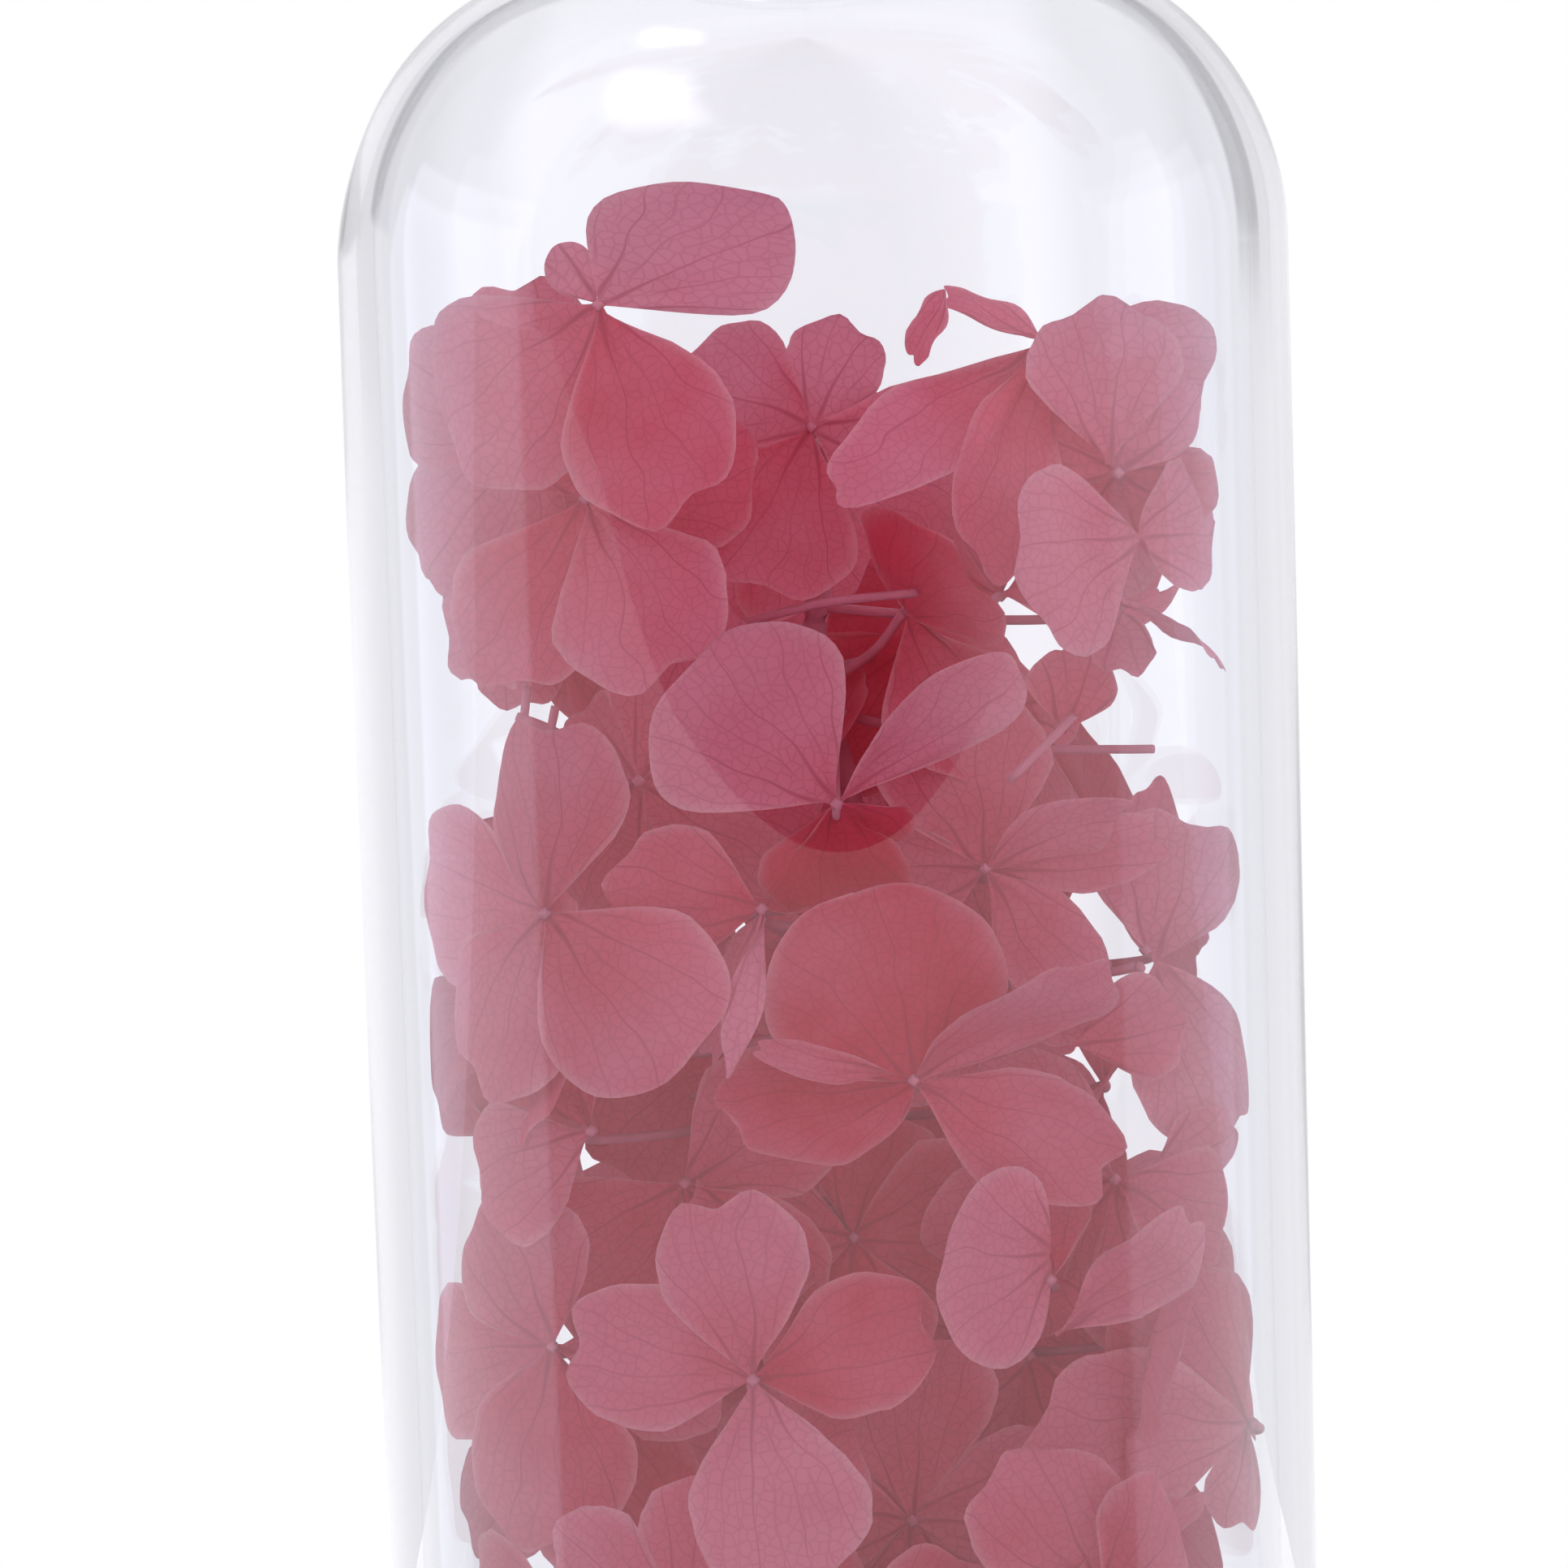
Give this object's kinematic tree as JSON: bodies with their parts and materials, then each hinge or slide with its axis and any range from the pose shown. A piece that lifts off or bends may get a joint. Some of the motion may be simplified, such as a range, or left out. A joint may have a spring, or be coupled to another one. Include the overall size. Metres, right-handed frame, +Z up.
{
  "type": "dried flowers in a bottle",
  "caption": "Preserved pink hydrangea sprigs packed inside a round-shouldered clear glass bottle with an open neck and a rolled lip; stands on a flat foot ring.",
  "frame": {"origin": "middle of the bottle's foot, on the plane it stands on", "axes": "+Z up along the bottle's axis; the side that is seen in the picture faces -Y"},
  "size_m": [0.065, 0.065, 0.167],
  "materials": {
    "clear_glass": "clear polished soda-lime glass, faintly cool, with a soft fire-polished lip",
    "preserved_petal": "matte dyed rose-pink hydrangea petals, thin and papery, with fine darker veins, on mauve-brown stems"
  },
  "bodies": {
    "root": {"bottle": "clear_glass", "sprig_bottom": "preserved_petal", "sprig_low": "preserved_petal", "sprig_middle": "preserved_petal", "sprig_high": "preserved_petal", "sprig_top": "preserved_petal"}
  },
  "joints": []
}
